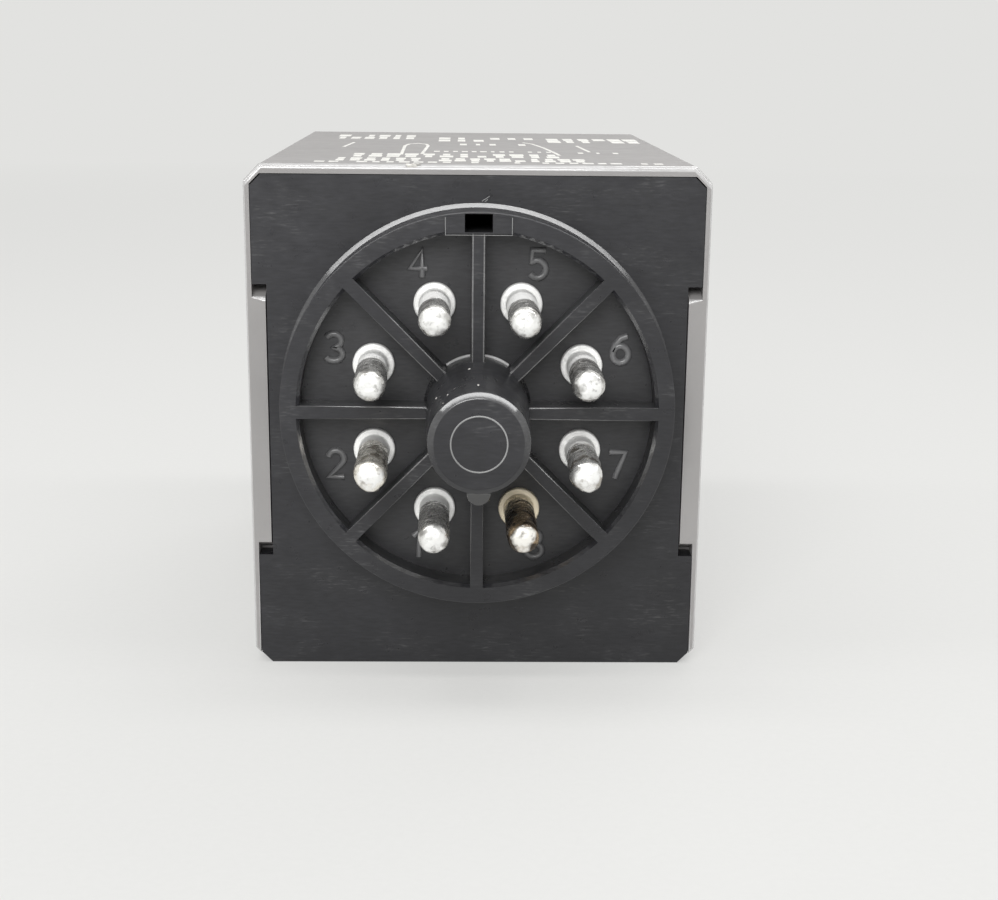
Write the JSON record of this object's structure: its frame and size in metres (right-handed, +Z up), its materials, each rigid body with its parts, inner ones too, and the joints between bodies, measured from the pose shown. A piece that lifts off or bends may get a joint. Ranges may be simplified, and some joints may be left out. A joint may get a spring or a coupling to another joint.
{
  "type": "time delay relay",
  "caption": "Plug-in time delay relay: grey moulded case on a black octal base with a keyed post, a timing knob, indicator lights and a clapper relay inside.",
  "frame": {"origin": "centre of the pin circle on the seating face of the base ring", "axes": "-Y out along the pins, +Y along the case to the dial, +Z up with the key of the post underneath"},
  "size_m": [0.036, 0.0774, 0.0399],
  "materials": {
    "case_grey": "fine moulded grain",
    "base_black": "satin moulding with scuffs",
    "pin_plating": "tinned, with solder tips",
    "tinned_wire": "dull tin",
    "face_black": "printed satin",
    "knob_grey": "satin",
    "shaft_plastic": "natural moulding",
    "switch_black": "moulded",
    "selector_white": "smooth",
    "lens_green": "clear tinted",
    "lens_amber": "clear tinted",
    "board_green": "solder mask",
    "chip_black": "moulded",
    "can_blue": "sleeved",
    "capacitor_red": "dipped",
    "varistor_blue": "dipped",
    "resistor_tan": "coated",
    "relay_brown": "phenolic",
    "soft_iron": "plated",
    "bobbin_ivory": "moulded",
    "copper": "enamelled winding",
    "contact_bronze": "rolled strip",
    "spring_steel": "drawn wire"
  },
  "bodies": {
    "case": {"housing": "case_grey", "base": "base_black", "pin_1": "pin_plating", "pin_2": "pin_plating", "pin_3": "pin_plating", "pin_4": "pin_plating", "pin_5": "pin_plating", "pin_6": "pin_plating", "pin_7": "pin_plating", "pin_8": "pin_plating", "lead_1": "tinned_wire", "lead_2": "tinned_wire", "lead_3": "tinned_wire", "lead_4": "tinned_wire", "lead_5": "tinned_wire", "lead_6": "tinned_wire", "lead_7": "tinned_wire", "lead_8": "tinned_wire", "coil_terminal_1": "tinned_wire", "coil_terminal_2": "tinned_wire", "face_plate": "face_black", "pot_body": "switch_black", "selector_body": "switch_black", "board_header": "switch_black", "power_lens": "lens_green", "power_led": "lens_green", "output_lens": "lens_amber", "output_led": "lens_amber", "front_board": "board_green", "power_board": "board_green", "timer_ic": "chip_black", "rectifier": "chip_black", "smoothing_capacitor": "can_blue", "dropping_capacitor": "capacitor_red", "varistor": "varistor_blue", "resistor_1": "resistor_tan", "resistor_2": "resistor_tan", "relay_base": "relay_brown", "yoke": "soft_iron", "core": "soft_iron", "bobbin": "bobbin_ivory", "coil": "copper", "braid_left": "copper", "braid_right": "copper", "no_contact_left": "contact_bronze", "no_contact_right": "contact_bronze", "nc_contact_left": "contact_bronze", "nc_contact_right": "contact_bronze", "return_spring": "spring_steel"},
    "dial": {"time_knob": "knob_grey", "pot_shaft": "shaft_plastic"},
    "selector": {"range_selector": "selector_white"},
    "armature": {"armature": "soft_iron", "insulator": "bobbin_ivory", "blade_left": "contact_bronze", "blade_right": "contact_bronze"}
  },
  "joints": [
    {"name": "time_setting", "type": "hinge", "parent": "case", "child": "dial", "pos_m": [0, 0.0605, -0.00165], "axis": [0, -1, 0], "range_deg": [-135, 135]},
    {"name": "range_setting", "type": "hinge", "parent": "case", "child": "selector", "pos_m": [0, 0.0605, -0.01665], "axis": [0, -1, 0], "range_deg": [-60, 60]},
    {"name": "armature_swing", "type": "hinge", "parent": "case", "child": "armature", "pos_m": [0, 0.04, 0.00545], "axis": [1, 0, 0], "range_deg": [0, 4], "stiffness_Nm_per_rad": 0.02, "springref_deg": -5.73, "deforming": ["return_spring", "braid_left", "braid_right"]}
  ]
}
